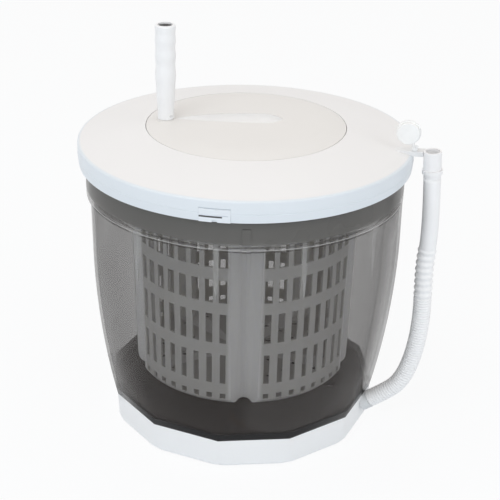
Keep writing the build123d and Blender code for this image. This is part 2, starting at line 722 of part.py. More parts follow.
def latch_lugs():
    """Two lugs inside the skirt beside the latch, with a bar up to the land, that hold its pin."""
    lugs = []
    gasket_room = rod(GASKET_OUTER + RUNNING_GAP, TUB_RIM - 1, LAND_BOTTOM)
    for side in (-1, 1):
        middle = side * (LATCH_WIDTH / 2 + RUNNING_GAP + LUG_WIDTH / 2)
        across = Pos(middle, -LATCH_PIN_RADIUS_OUT, LATCH_PIN_HEIGHT) * Rot(0, 90, 0)
        lug = across * Cylinder(LUG_RADIUS, LUG_WIDTH)
        bar_height = LAND_BOTTOM - LATCH_PIN_HEIGHT
        lug += Pos(middle, -LATCH_PIN_RADIUS_OUT + 0.2, LATCH_PIN_HEIGHT) * Box(
            LUG_WIDTH, 2 * LUG_RADIUS - 0.4, bar_height, align=BASE)
        lugs.append(lug - gasket_room)
    return lugs


def lid_cover():
    cover = turned_lines(lid_outline())
    boss_top = LID_EDGE_HEIGHT + 4
    boss = Pos(LID_SCREW_CIRCLE, 0, 0) * (rod(LID_BOSS_RADIUS, UNDERPLATE_TOP, boss_top))
    pilot = Pos(LID_SCREW_CIRCLE, 0, 0) * rod(SCREW_SHANK + FIT_GAP, UNDERPLATE_TOP, boss_top - 2)
    cover += around(boss, even_angles(PAD_COUNT))
    cover -= around(pilot, even_angles(PAD_COUNT))
    skirt_only = rod(LID_RADIUS - LID_WALL / 2, UNDERPLATE_BOTTOM, LAND_BOTTOM)
    for turn in (0, 180):
        cover -= Rot(0, 0, turn) * latch_opening()
        cover += [Rot(0, 0, turn) * (lug & skirt_only) for lug in latch_lugs()]
        cover -= Rot(0, 0, turn) * latch_pin()
    return cover


def lid_solid():
    """The lid's outer form without its hollow, for fitting the clip to it."""
    dome = lid_dome_line(0, LID_HOLE_RADIUS, LID_RADIUS - LID_EDGE_ROUND)
    side_top = LID_EDGE_HEIGHT - LID_EDGE_ROUND
    diagonal = LID_EDGE_ROUND * (1 - math.sqrt(0.5))
    lines = [
        dome,
        ThreePointArc(dome @ 1, (LID_RADIUS - diagonal, LID_EDGE_HEIGHT - diagonal), (LID_RADIUS, side_top)),
        Polyline((LID_RADIUS, side_top), (LID_RADIUS, LID_SKIRT_BOTTOM), (LID_HOLE_RADIUS, LID_SKIRT_BOTTOM),
                 dome @ 0),
    ]
    return turned_lines(lines)


def lid_underplate():
    plate = rod(UNDERPLATE_RADIUS, UNDERPLATE_BOTTOM, UNDERPLATE_TOP)
    plate -= rod(SHAFT_BUSH_RADIUS, UNDERPLATE_BOTTOM, UNDERPLATE_TOP)
    hole = Pos(LID_SCREW_CIRCLE, 0, 0) * rod(SCREW_SHANK + SCREW_CLEARANCE, UNDERPLATE_BOTTOM, UNDERPLATE_TOP)
    return plate - around(hole, even_angles(PAD_COUNT))


def lid_screws():
    one = Pos(LID_SCREW_CIRCLE, 0, 0) * screw(UNDERPLATE_BOTTOM, LID_SCREW_LENGTH)
    return around(one, even_angles(PAD_COUNT))


def lid_gasket():
    return ring(GASKET_OUTER, GASKET_INNER, TUB_RIM + RUNNING_GAP, LAND_BOTTOM)


def glide_ring():
    return ring(GLIDE_OUTER, GLIDE_INNER, SHELF_TOP, SHELF_TOP + GLIDE_THICKNESS)


# Crank disc, carrier and what joins them

def disc_crown(drop, rim):
    """Solid under the disc's crowned top, lowered by drop, out to the rim radius."""
    shoulder_rise = DISC_SHOULDER - DISC_EDGE
    top = (0, DISC_CROWN - drop)
    shoulder = (DISC_SHOULDER_RADIUS, DISC_SHOULDER - drop)
    edge = (rim, DISC_EDGE - drop)
    mid_top = (DISC_SHOULDER_RADIUS / 2, DISC_CROWN - drop - (DISC_CROWN - DISC_SHOULDER) / 4)
    mid_edge = ((DISC_SHOULDER_RADIUS + rim) / 2, DISC_EDGE - drop + 0.62 * shoulder_rise)
    lines = [
        ThreePointArc(top, mid_top, shoulder),
        ThreePointArc(shoulder, mid_edge, edge),
        Polyline(edge, (rim, DISC_RIM_BOTTOM), (0, DISC_RIM_BOTTOM), top),
    ]
    return turned_lines(lines)


def recess_form(grow):
    """Teardrop form turned about its own lengthwise line at the disc's surface."""
    start = RECESS_START - grow
    end = RECESS_END + grow
    wide = RECESS_HALF_WIDTH + grow
    shift = RECESS_END - RECESS_WIDEST
    end_mid = (RECESS_WIDEST + shift * math.sqrt(0.5), RECESS_HALF_WIDTH * math.sqrt(0.5) + grow * 0.8)
    lines = [
        ThreePointArc((start, 0), (RECESS_MIDDLE, RECESS_MIDDLE_HALF_WIDTH + grow), (RECESS_WIDEST, wide)),
        ThreePointArc((RECESS_WIDEST, wide), end_mid, (end, 0)),
        Line((end, 0), (start, 0)),
    ]
    form = revolve(Plane.XZ * outline_face(lines), Axis.X)
    return Pos(0, 0, RECESS_LEVEL) * form


def disc_boss_angles():
    return even_angles(PLANET_COUNT, DISC_BOSS_START_ANGLE)


def crank_disc():
    under_crown = disc_crown(0, DISC_RADIUS)
    disc = under_crown - disc_crown(DISC_WALL, DISC_RADIUS - DISC_WALL)
    deep_crown = under_crown + rod(DISC_BOSS_CIRCLE + 4 * DISC_BOSS_RADIUS, CARRIER_TOP, DISC_EDGE)
    disc += recess_form(RECESS_WALL) & deep_crown
    guide_low = SHELF_TOP + GLIDE_THICKNESS + RUNNING_GAP
    guide = ring(GLIDE_OUTER, GLIDE_INNER, guide_low, DISC_EDGE)
    disc += guide
    boss = Pos(DISC_BOSS_CIRCLE, 0, 0) * rod(DISC_BOSS_RADIUS, CARRIER_TOP, DISC_SHOULDER)
    pilot = Pos(DISC_BOSS_CIRCLE, 0, 0) * rod(SCREW_SHANK + FIT_GAP, CARRIER_TOP, DISC_EDGE + 2)
    disc += around(boss, disc_boss_angles())
    disc -= around(pilot, disc_boss_angles())
    disc -= recess_form(0)
    seat_top = PIVOT_HEIGHT - FOOT_ROUND - RUNNING_GAP
    disc += Pos(HANDLE_PLACE, 0, 0) * rod(SEAT_PAD_RADIUS, DISC_SHOULDER - DISC_WALL + 1, seat_top)
    tab_width = FORK_SLOT - 2 * RUNNING_GAP
    across = Pos(PIVOT_PLACE, 0, PIVOT_HEIGHT) * Rot(90, 0, 0)
    disc += across * Cylinder(TAB_RADIUS, tab_width)
    disc += Pos(PIVOT_PLACE, 0, DISC_SHOULDER - 1) * Box(
        2 * TAB_RADIUS, tab_width, PIVOT_HEIGHT - DISC_SHOULDER + 1, align=BASE)
    return disc - across * Cylinder(PIVOT_PIN_RADIUS, tab_width + 2)


def carrier_plate():
    plate = rod(CARRIER_RADIUS, CARRIER_BOTTOM, CARRIER_TOP)
    plate -= rod(SPINDLE_RADIUS + FIT_GAP, CARRIER_BOTTOM, CARRIER_TOP)
    boss_low = GEAR_TOP + RUNNING_GAP
    for angle in even_angles(PLANET_COUNT, PLANET_START_ANGLE):
        place = Rot(0, 0, angle) * Pos(PLANET_CIRCLE, 0, 0)
        plate += place * rod(CARRIER_BOSS_RADIUS, boss_low, CARRIER_BOTTOM)
        plate -= place * rod(PLANET_PIN_RADIUS, boss_low, CARRIER_TOP)
    hole = Pos(DISC_BOSS_CIRCLE, 0, 0) * rod(SCREW_SHANK + SCREW_CLEARANCE, CARRIER_BOTTOM, CARRIER_TOP)
    return plate - around(hole, disc_boss_angles())


def planet_pins():
    head_top = GEAR_BOTTOM - RUNNING_GAP
    pin = rod(PLANET_PIN_RADIUS, head_top, CARRIER_TOP)
    pin += rod(PLANET_PIN_HEAD, head_top - PLANET_PIN_HEAD_HEIGHT, head_top)
    return around(Pos(PLANET_CIRCLE, 0, 0) * pin, even_angles(PLANET_COUNT, PLANET_START_ANGLE))


def carrier_screws():
    one = Pos(DISC_BOSS_CIRCLE, 0, 0) * screw(CARRIER_BOTTOM, CARRIER_SCREW_LENGTH)
    return around(one, disc_boss_angles())


def crank_spindle():
    spindle = rod(SPINDLE_RADIUS, GEAR_BOTTOM, CARRIER_TOP)
    return spindle + rod(SPINDLE_HEAD, CARRIER_TOP, CARRIER_TOP + 2)


# Handle

def handle_low():
    return PIVOT_HEIGHT - FOOT_ROUND


def crank_handle():
    low = handle_low()
    grip_low = low + 45
    outline = Spline(
        (HANDLE_FOOT_RADIUS, low + 12), (HANDLE_GRIP_RADIUS - 0.9, low + 25), (HANDLE_WAIST_RADIUS - 0.1, low + 34),
        (HANDLE_GRIP_RADIUS, grip_low), (HANDLE_WAIST_RADIUS, grip_low + 11), (HANDLE_GRIP_RADIUS, grip_low + 21),
        (HANDLE_WAIST_RADIUS, grip_low + 28), (HANDLE_GRIP_RADIUS, grip_low + 35),
        (HANDLE_WAIST_RADIUS + 0.2, grip_low + 43), (HANDLE_GRIP_RADIUS, HANDLE_TOP - 1.5),
        tangents=[(0, 1), (0, 1)],
    )
    lines = [
        Polyline((0, HANDLE_TOP), (0, low), (HANDLE_FOOT_RADIUS, low), (HANDLE_FOOT_RADIUS, low + 12)),
        outline,
        Polyline((HANDLE_GRIP_RADIUS, HANDLE_TOP - 1.5), (HANDLE_GRIP_RADIUS - 1, HANDLE_TOP), (0, HANDLE_TOP)),
    ]
    handle = Pos(HANDLE_PLACE, 0, 0) * turned_lines(lines)
    handle -= Pos(HANDLE_PLACE, 0, 0) * rod(GRIP_BORE_RADIUS, HANDLE_TOP - GRIP_BORE_DEPTH, HANDLE_TOP)
    across = Pos(PIVOT_PLACE, 0, PIVOT_HEIGHT) * Rot(90, 0, 0)
    corner = Pos(PIVOT_PLACE + HANDLE_FOOT_RADIUS, 0, low) * Box(
        2 * HANDLE_FOOT_RADIUS, 3 * HANDLE_FOOT_RADIUS, FOOT_ROUND, align=BASE)
    handle -= corner - across * Cylinder(FOOT_ROUND, 4 * HANDLE_FOOT_RADIUS)
    slot_height = FOOT_ROUND + FORK_SLOT_TOP
    handle -= Pos(HANDLE_PLACE, 0, low) * Box(4 * HANDLE_FOOT_RADIUS, FORK_SLOT, slot_height, align=BASE)
    return handle - across * Cylinder(PIVOT_PIN_RADIUS + SHAFT_GAP, 4 * HANDLE_FOOT_RADIUS)


def handle_hinge_pin():
    length = 2 * math.sqrt(HANDLE_FOOT_RADIUS ** 2 - (PIVOT_PLACE - HANDLE_PLACE + PIVOT_PIN_RADIUS) ** 2)
    return Pos(PIVOT_PLACE, 0, PIVOT_HEIGHT) * Rot(90, 0, 0) * Cylinder(PIVOT_PIN_RADIUS, length - 0.6)


def handle_end_plug():
    top = HANDLE_TOP - PLUG_RECESS
    return Pos(HANDLE_PLACE, 0, 0) * rod(GRIP_BORE_RADIUS, top - PLUG_LENGTH, top)


# Latches

def latch():
    """Front latch: a plate flush with the skirt, hung on a pin, with a hook towards the tub."""
    half = LATCH_WIDTH / 2
    inner = LID_RADIUS - LATCH_THICKNESS
    plate = ring(LID_RADIUS, inner, LID_SKIRT_BOTTOM, LATCH_TOP)
    plate &= Pos(0, -LID_RADIUS, LID_SKIRT_BOTTOM) * Box(LATCH_WIDTH, 24, LATCH_TOP, align=BASE)
    across = Pos(0, -LATCH_PIN_RADIUS_OUT, LATCH_PIN_HEIGHT) * Rot(0, 90, 0)
    top_radius = LATCH_TOP - LATCH_PIN_HEIGHT
    plate_top = Pos(0, -LID_RADIUS, LATCH_PIN_HEIGHT) * Box(LATCH_WIDTH, 24, 20, align=BASE)
    plate -= plate_top - across * Cylinder(top_radius, LATCH_WIDTH)
    plate += across * Cylinder(LATCH_BARREL, LATCH_WIDTH)
    arm_reach = LID_RADIUS - (BAND_RADIUS + CATCH_DEPTH + RUNNING_GAP)
    hook = ring(LID_RADIUS - 1, LID_RADIUS - arm_reach, LID_SKIRT_BOTTOM, LID_SKIRT_BOTTOM + LATCH_HOOK_HEIGHT)
    plate += hook & (Pos(0, -LID_RADIUS, 0) * Box(CATCH_WIDTH, 24, REACH, align=BASE))
    plate -= across * Cylinder(LATCH_PIN_RADIUS + SHAFT_GAP, LATCH_WIDTH + 2)
    line = Pos(0, 0, LATCH_LINE) * ring(LID_RADIUS + 1, LID_RADIUS - 0.8, 0, 0.8)
    plate -= line & (Pos(0, -LID_RADIUS, 0) * Box(LATCH_WIDTH - 4, 24, REACH, align=BASE))
    notch = Pos(0, -half - LID_RADIUS, LID_SKIRT_BOTTOM) * Box(
        LATCH_NOTCH_WIDTH, 2 * half + 3, LATCH_NOTCH_HEIGHT, align=BASE)
    return plate - notch


def latch_pin():
    length = LATCH_WIDTH + 2 * (RUNNING_GAP + LUG_WIDTH) - 0.4
    return Pos(0, -LATCH_PIN_RADIUS_OUT, LATCH_PIN_HEIGHT) * Rot(0, 90, 0) * Cylinder(LATCH_PIN_RADIUS, length)


# Drain elbow and hose

def route_points():
    return [Vector(x, HOSE_PLANE, z) for x, z in HOSE_ROUTE]


def spigot_frame():
    """Plane at the hose's lower end, its normal along the spigot."""
    return Plane(origin=route_points()[0], x_dir=(0, 1, 0),
                 z_dir=(math.cos(math.radians(SPIGOT_ANGLE)), 0, math.sin(math.radians(SPIGOT_ANGLE))))


def outside_tray():
    """Space outside the tray's wall, a little clear of it."""
    keep = Pos(0, 0, -REACH / 2) * extrude(RegularPolygon(REACH, 4), REACH)
    keep -= twelve_sided(FACET_FOOT + SEAT_GAP, -REACH / 2, TRAY_TOP)
    return keep - twelve_sided(FACET_FOOT + SEAT_GAP + 3, TRAY_TOP, TRAY_TOP + 9, 3)


def drain_elbow():
    upright = Pos(DRAIN_PLACE, HOSE_PLANE, 0)
    seal_bottom = TUB_FLOOR_BOTTOM - DRAIN_SPOUT_LENGTH - DRAIN_SEAL_THICKNESS
    along = Pos(DRAIN_PLACE, HOSE_PLANE, DRAIN_HEIGHT) * Rot(0, 90, 0)
    spigot = spigot_frame()
    start = HOSE_ROUTE[0]
    back = (start[1] - DRAIN_HEIGHT) / math.sin(math.radians(SPIGOT_ANGLE))
    bend_place = start[0] - back * math.cos(math.radians(SPIGOT_ANGLE))
    run = bend_place - DRAIN_PLACE
    elbow = upright * rod(ELBOW_RADIUS, ELBOW_BOTTOM, seal_bottom)
    elbow += along * rod(ELBOW_PIPE_RADIUS, 0, run)
    elbow += spigot * rod(ELBOW_PIPE_RADIUS, -back, SPIGOT_LENGTH)
    elbow += Pos(bend_place, HOSE_PLANE, DRAIN_HEIGHT) * Sphere(ELBOW_PIPE_RADIUS)
    elbow += spigot * rod(SPIGOT_COLLAR_RADIUS, -10, -RUNNING_GAP) & outside_tray()
    elbow -= upright * rod(ELBOW_BORE, DRAIN_HEIGHT - ELBOW_BORE, seal_bottom)
    elbow -= along * rod(ELBOW_BORE, 0, run)
    elbow -= spigot * rod(ELBOW_BORE, -back, SPIGOT_LENGTH)
    return elbow - Pos(bend_place, HOSE_PLANE, DRAIN_HEIGHT) * Sphere(ELBOW_BORE)


def drain_seal():
    low = TUB_FLOOR_BOTTOM - DRAIN_SPOUT_LENGTH - DRAIN_SEAL_THICKNESS
    return Pos(DRAIN_PLACE, HOSE_PLANE, 0) * ring(ELBOW_RADIUS, DRAIN_HOLE_RADIUS, low, low + DRAIN_SEAL_THICKNESS)


def hose_path():
    points = route_points()
    radii = []
    for before, corner, after in zip(points, points[1:], points[2:]):
        arriving = corner - before
        leaving = after - corner
        half_turn = math.radians(arriving.get_angle(leaving)) / 2
        radii.append(0.45 * min(arriving.length, leaving.length) / math.tan(half_turn))
    print("hose corner radii", [round(radius, 1) for radius in radii])
    return FilletPolyline(*points, radius=radii)


def hose_circle(path, place, radius):
    """Circle across the hose at a length along its path, with a steady X axis."""
    share = min(max(place / path.length, 0.0), 1.0)
    section = Plane(origin=path @ share, x_dir=(0, 1, 0), z_dir=path % share)
    return section * Circle(radius)


def drain_hose():
    path = hose_path()
    stations = []
    place = 0.0
    for pitch, count in ((FINE_PITCH, FINE_RIBS), (COARSE_PITCH, COARSE_RIBS)):
        for rib in range(count):
            stations += [
                (place, RIB_VALLEY), (place + 0.2 * pitch, RIB_CREST),
                (place + 0.6 * pitch, RIB_CREST), (place + 0.8 * pitch, RIB_VALLEY),
            ]
            place += pitch
    smooth_steps = 8
    remaining = path.length - place
    stations.append((place, RIB_VALLEY))
    stations += [(place + 1 + (remaining - 1) * step / smooth_steps, SMOOTH_RADIUS)
                 for step in range(smooth_steps + 1)]
    outside = loft([hose_circle(path, at, radius) for at, radius in stations], ruled=True)
    bore = sweep(hose_circle(path, 0, HOSE_BORE), path)
    expected = math.pi * HOSE_BORE ** 2 * path.length
    print("hose length", round(path.length, 1), "bore volume over section times length",
          round(bore.volume / expected, 4))
    return outside - bore


def hose_end_plane():
    start, end = route_points()[-2:]
    return Plane(origin=end, x_dir=(0, 1, 0), z_dir=end - start)


def hose_cuff():
    neck = COLLAR_RADIUS - COLLAR_WALL - SEAT_GAP
    form = turned([
        (CUFF_BORE - 1.8, -CUFF_BARB_LENGTH), (CUFF_BARB_RADIUS, -CUFF_BARB_LENGTH), (CUFF_BARB_RADIUS, 0),
        (neck, 0), (neck, CUFF_START), (CUFF_RADIUS, CUFF_START), (CUFF_RADIUS, CUFF_LENGTH),
        (CUFF_BORE, CUFF_LENGTH), (CUFF_BORE, 2), (CUFF_BORE - 1.8, 0),
    ])
    return hose_end_plane() * form


def hose_collar():
    return hose_end_plane() * ring(
        COLLAR_RADIUS, COLLAR_RADIUS - COLLAR_WALL, COLLAR_START, COLLAR_START + COLLAR_LENGTH)


# Hose clip and stopper

def cuff_space():
    """Upright room round the hose cuff, with the clip's play."""
    mouth = hose_end_plane().origin
    lean = (HOSE_ROUTE[-1][0] - HOSE_ROUTE[-2][0]) / (HOSE_ROUTE[-1][1] - HOSE_ROUTE[-2][1])
    middle = CLIP_BOTTOM + CLIP_HEIGHT / 2
    return Pos(mouth.X + lean * (middle - mouth.Z), HOSE_PLANE, 0) * rod(CUFF_RADIUS + CLIP_PLAY, 0, REACH)


def hose_clip():
    length = CLIP_END - LID_RADIUS + 20
    depth = CLIP_BACK - CLIP_FRONT
    clip = Pos(CLIP_END - length / 2, (CLIP_FRONT + CLIP_BACK) / 2, CLIP_BOTTOM) * Box(
        length, depth, CLIP_HEIGHT, align=BASE)
    clip = fillet(clip.edges().filter_by(Axis.Z).sort_by(Axis.X)[-2:], 3)
    clip -= lid_solid()
    clip -= Pos(FIT_GAP, 0, FIT_GAP) * lid_solid()
    peg = rod(PEG_RADIUS, -PEG_ROOT, PEG_END)
    peg += rod(PEG_HEAD_RADIUS, PEG_END, PEG_END + PEG_HEAD_THICKNESS)
    return clip - cuff_space() + peg_frame() * peg


def peg_frame():
    """Plane at the middle of the stopper's eye, its normal along the clip's peg."""
    return Plane(origin=STOPPER_EYE, z_dir=STOPPER_AXIS)


def stopper_frame():
    """Plane at the stopper's closed end, its normal facing out of the cup."""
    return Plane(origin=STOPPER_CENTRE, x_dir=(1, 0, 0), z_dir=STOPPER_FACING)


def hose_stopper():
    """Cup with a brim at its open end, an eye at the clip, and the strap between them."""
    brim_top = -STOPPER_CUP_DEPTH + STOPPER_BRIM_THICKNESS
    cup = rod(STOPPER_CUP_RADIUS, -STOPPER_CUP_DEPTH, 0)
    cup = fillet(cup.edges().filter_by(GeomType.CIRCLE).sort_by(Axis.Z)[-1], 1.0)
    cup += rod(STOPPER_BRIM_RADIUS, -STOPPER_CUP_DEPTH, brim_top)
    cup -= rod(STOPPER_CUP_BORE, -STOPPER_CUP_DEPTH, -STOPPER_END_THICKNESS)
    frame = stopper_frame()
    placed = frame * cup
    eye = Vector(*STOPPER_EYE)
    behind = -STOPPER_CUP_DEPTH + STOPPER_BRIM_THICKNESS / 2
    towards_eye = (frame.to_local_coords(eye)).normalized()
    edge_place = (STOPPER_BRIM_RADIUS - 1.5) / math.hypot(towards_eye.X, towards_eye.Y)
    root = frame.from_local_coords((towards_eye.X * edge_place, towards_eye.Y * edge_place, behind))
    strap_line = Line(eye, root)
    across = Plane(origin=eye, x_dir=(0, 1, 0), z_dir=root - eye)
    strap = extrude(across * SlotOverall(STRAP_WIDTH, STOPPER_BRIM_THICKNESS * 1.5), strap_line.length)
    stopper = placed + strap + Pos(*STOPPER_EYE) * Sphere(STOPPER_EYE_RADIUS)
    stopper -= peg_frame() * rod(PEG_RADIUS + SHAFT_GAP, -PEG_ROOT, PEG_END)
    return stopper - peg_frame() * rod(PEG_HEAD_RADIUS + RUNNING_GAP, STOPPER_EYE_RADIUS - SEAT_GAP, PEG_ROOT)


def main():
    os.makedirs("parts", exist_ok=True)
    save("tub", tub())
    save("base_tray", base_tray())
    save("rubber_feet", *rubber_feet())
    save("base_screws", *base_screws())
    save("basket_pivot_pin", basket_pivot_pin())
    save("thrust_washer", thrust_washer())
    save("basket_bush", basket_bush())
    save("basket", basket())
    save("basket_cover", basket_cover())
    save("drain_elbow", drain_elbow())
    save("drain_seal", drain_seal())
    save("lid_cover", lid_cover())
    save("lid_underplate", lid_underplate())
    save("lid_screws", *lid_screws())
    save("lid_gasket", lid_gasket())
    save("glide_ring", glide_ring())
    save("drive_bush", drive_bush())
    save("ring_gear", ring_gear())
    save("sun_gear", sun_gear())
    save("drive_shaft", drive_shaft())
    save("shaft_clip", shaft_clip())
    for number, angle in enumerate(planet_angles(), start=1):
        save(f"planet_gear_{number}", planet_gear(angle))
    crank = Rot(0, 0, CRANK_ANGLE)
    save("crank_disc", crank * crank_disc())
    save("carrier_plate", crank * carrier_plate())
    save("planet_pins", *[crank * pin for pin in planet_pins()])
    save("carrier_screws", *[crank * one for one in carrier_screws()])
    save("crank_spindle", crank_spindle())
    save("crank_handle", crank * crank_handle())
    save("handle_hinge_pin", crank * handle_hinge_pin())
    save("handle_end_plug", crank * handle_end_plug())
    save("front_latch", latch())
    save("front_latch_pin", latch_pin())
    save("back_latch", Rot(0, 0, 180) * latch())
    save("back_latch_pin", Rot(0, 0, 180) * latch_pin())
    save("drain_hose", drain_hose())
    save("hose_cuff", hose_cuff())
    save("hose_collar", hose_collar())
    save("hose_clip", hose_clip())
    save("hose_stopper", hose_stopper())


main()
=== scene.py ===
import json
import math
import bpy
import bmesh
from mathutils import Matrix, Vector

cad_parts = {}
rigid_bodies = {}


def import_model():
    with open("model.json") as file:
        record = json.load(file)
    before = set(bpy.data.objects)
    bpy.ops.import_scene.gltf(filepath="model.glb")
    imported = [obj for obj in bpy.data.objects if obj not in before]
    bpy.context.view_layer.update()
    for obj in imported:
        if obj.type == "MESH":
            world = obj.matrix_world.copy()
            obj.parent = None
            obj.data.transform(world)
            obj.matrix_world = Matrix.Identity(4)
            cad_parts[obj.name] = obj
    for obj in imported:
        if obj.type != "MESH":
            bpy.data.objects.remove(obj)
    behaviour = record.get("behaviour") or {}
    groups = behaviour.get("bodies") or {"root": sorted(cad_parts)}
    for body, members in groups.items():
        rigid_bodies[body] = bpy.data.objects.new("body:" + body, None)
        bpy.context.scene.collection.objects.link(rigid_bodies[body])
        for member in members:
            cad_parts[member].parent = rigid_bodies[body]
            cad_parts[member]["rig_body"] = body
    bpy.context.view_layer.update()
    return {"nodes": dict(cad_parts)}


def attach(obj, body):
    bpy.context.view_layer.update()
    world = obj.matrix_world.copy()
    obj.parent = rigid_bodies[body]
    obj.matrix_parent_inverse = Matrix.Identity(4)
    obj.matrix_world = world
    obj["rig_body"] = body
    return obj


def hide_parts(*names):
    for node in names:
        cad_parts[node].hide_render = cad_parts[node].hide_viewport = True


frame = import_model()
scene = bpy.context.scene

# Camera: it looks down at the machine from a little to the right of its front
CAMERA_AIM = (0.0, 0.0, 0.18097)
CAMERA_DISTANCE = 1.4
CAMERA_YAW = 9.23
CAMERA_RISE = 25.05
CAMERA_ROLL = 1.08
CAMERA_LENS = 95.67
CAMERA_SHIFT = 0.0122


def set_camera():
    aim = Vector(CAMERA_AIM)
    yaw = math.radians(CAMERA_YAW)
    rise = math.radians(CAMERA_RISE)
    back = Vector((math.sin(yaw) * math.cos(rise), -math.cos(yaw) * math.cos(rise), math.sin(rise)))
    camera = bpy.data.objects.new("camera", bpy.data.cameras.new("camera"))
    scene.collection.objects.link(camera)
    turn = (-back).to_track_quat("-Z", "Y").to_matrix().to_4x4()
    roll = Matrix.Rotation(math.radians(CAMERA_ROLL), 4, "Z")
    camera.matrix_world = Matrix.Translation(aim + CAMERA_DISTANCE * back) @ turn @ roll
    camera.data.sensor_width = 36.0
    camera.data.lens = CAMERA_LENS
    camera.data.shift_x = CAMERA_SHIFT
    camera.data.clip_end = 50.0
    scene.camera = camera


# Heights of the tub's ledge and of its floor's upper face
LEDGE = 0.2535
TUB_FLOOR = 0.0405

# The band of frost and painted shade fades in between these heights above the ledge
FROST_LOW = 0.0045
FROST_HIGH = 0.0095

# The ledge's painted highlight line fades in and out between these heights above the ledge
LINE_START = 0.0016
LINE_FULL = 0.0020
LINE_FADING = 0.0027
LINE_END = 0.0031

# The pale lens of painted highlight at each of the tub's corners: its length, then half its width and its
# soft edge as shares of one side, then how strong it is at its foot and how much of that it loses up to the
# ledge
TUB_SIDES = 12
LENS_LENGTH = 0.056
LENS_HALF_WIDTH = 0.045
LENS_EDGE = 0.008
LENS_STRENGTH = 0.85
LENS_LOSS = 0.45

# Opacity of the tub's parts. A clear face gains this much more when it is seen edge on
SMOKE_ALPHA = 0.295
SLANT_ALPHA = 0.35
FROST_SHADE_ALPHA = 0.84
FLOOR_SHADE_ALPHA = 0.9
HIGHLIGHT_ALPHA = 0.7
LENS_ALPHA = 0.62
TUB_IOR = 1.3

# The lid's dome turns into its rim, painted in a darker shade, between these radii
DOME_REACH = 0.1660
RIM_REACH = 0.1690

# The disc's crowned top: its height, and how far it drops at this radius
CROWN_HEIGHT = 0.3280
CROWN_DROP = 0.0025
CROWN_REACH = 0.081

# The disc's recess turns to its painted lighter white between these depths below the crown, and ends between
# these radii
RECESS_SHALLOW = 0.0003
RECESS_DEEP = 0.0009
RECESS_REACH = 0.078
RECESS_END = 0.080

# The groove across each latch, the height and soft edge of the painted shadow line under it, and the line's
# right end
LATCH_GROOVE = 0.2926
LATCH_SHADOW_HEIGHT = 0.0020
LATCH_SHADOW_EDGE = 0.0004
LATCH_SHADOW_FADING = 0.0065
LATCH_SHADOW_END = 0.0075

# The basket's five flutes, one turned this many turns from the front. Half a flute's width, where its painted
# paler colour (painted light) starts to fade and where it ends, are shares of the turn from one flute to the
# next
FLUTES = 5
FLUTE_TURN = 10.7 / 360.0
FLUTE_FADING = 0.095
FLUTE_END = 0.135

# Edges sharper than this many degrees are rounded
SHARP_ANGLE = 32.0

# Vertices nearer than this are one
MERGE_DISTANCE = 0.000002

# Depth of the grain in moulded surfaces
GRAIN_DEPTH = 0.0002


# Shader maths

class Signal:
    """An output of a shader node. Sums and products of signals add the nodes for them."""

    def __init__(self, socket):
        self.socket = socket

    def with_other(self, operation, first, second):
        tree = self.socket.id_data
        return add_node(tree, "ShaderNodeMath", {"operation": operation}, {0: first, 1: second})

    def __add__(self, other):
        return self.with_other("ADD", self, other)

    def __mul__(self, other):
        return self.with_other("MULTIPLY", self, other)

    def __sub__(self, other):
        return self.with_other("SUBTRACT", self, other)

    def __rsub__(self, other):
        return self.with_other("SUBTRACT", other, self)

    def highest(self, other):
        return self.with_other("MAXIMUM", self, other)

    def power(self, exponent):
        return self.with_other("POWER", self, exponent)

    def size(self):
        return self.with_other("ABSOLUTE", self, 0.0)

    def root(self):
        return self.with_other("SQRT", self, 0.0)

    def to_nearest_whole(self):
        """Distance to the nearest whole number."""
        return (self - self.with_other("ROUND", self, 0.0)).size()

    def between(self, low, high):
        """0 below low, 1 above high, smooth in between."""
        return add_node(self.socket.id_data, "ShaderNodeMapRange", {"interpolation_type": "SMOOTHSTEP"},
                        {"Value": self, "From Min": low, "From Max": high, "To Min": 0.0, "To Max": 1.0})


def add_node(tree, kind, settings, inputs, output=0):
    node = tree.nodes.new(kind)
    for name, value in settings.items():
        setattr(node, name, value)
    for name, value in inputs.items():
        if isinstance(value, Signal):
            tree.links.new(value.socket, node.inputs[name])
        else:
            node.inputs[name].default_value = value
    return Signal(node.outputs[output])


class Finish:
    """A material with one Principled shader, and the patterns that its colour and surface come from."""

    def __init__(self, name):
        self.material = bpy.data.materials.new(name)
        self.material.use_nodes = True
        self.tree = self.material.node_tree
        self.shader = self.tree.nodes["Principled BSDF"]
        self.place = self.node("ShaderNodeTexCoord", {}, {}, "Object")

    def node(self, kind, settings, inputs, output=0):
        return add_node(self.tree, kind, settings, inputs, output)

    def axis(self, name):
        return self.node("ShaderNodeSeparateXYZ", {}, {"Vector": self.place}, name)

    def round_turn(self):
        """Angle about the machine's upright axis, in whole turns from its front."""
        sides = {0: self.axis("X"), 1: 0.0 - self.axis("Y")}
        angle = self.node("ShaderNodeMath", {"operation": "ARCTAN2"}, sides)
        return angle * (1.0 / (2 * math.pi))

    def noise(self, scale, detail=2.0, roughness=0.5, stretch=(1.0, 1.0, 1.0)):
        vector = self.node("ShaderNodeMapping", {}, {"Vector": self.place, "Scale": stretch})
        return self.node("ShaderNodeTexNoise", {},
                         {"Vector": vector, "Scale": scale, "Detail": detail, "Roughness": roughness})

    def mix(self, share, first, second):
        return self.node("ShaderNodeMix", {"data_type": "RGBA"}, {0: share, 6: first, 7: second}, 2)

    def set(self, name, value):
        if isinstance(value, Signal):
            self.tree.links.new(value.socket, self.shader.inputs[name])
        else:
            self.shader.inputs[name].default_value = value

    def bump(self, height, strength, depth):
        self.set("Normal", self.node("ShaderNodeBump", {}, {"Height": height, "Strength": strength,
                                                            "Distance": depth}))


def shade(colour, factor):
    return (colour[0] * factor, colour[1] * factor, colour[2] * factor, 1.0)


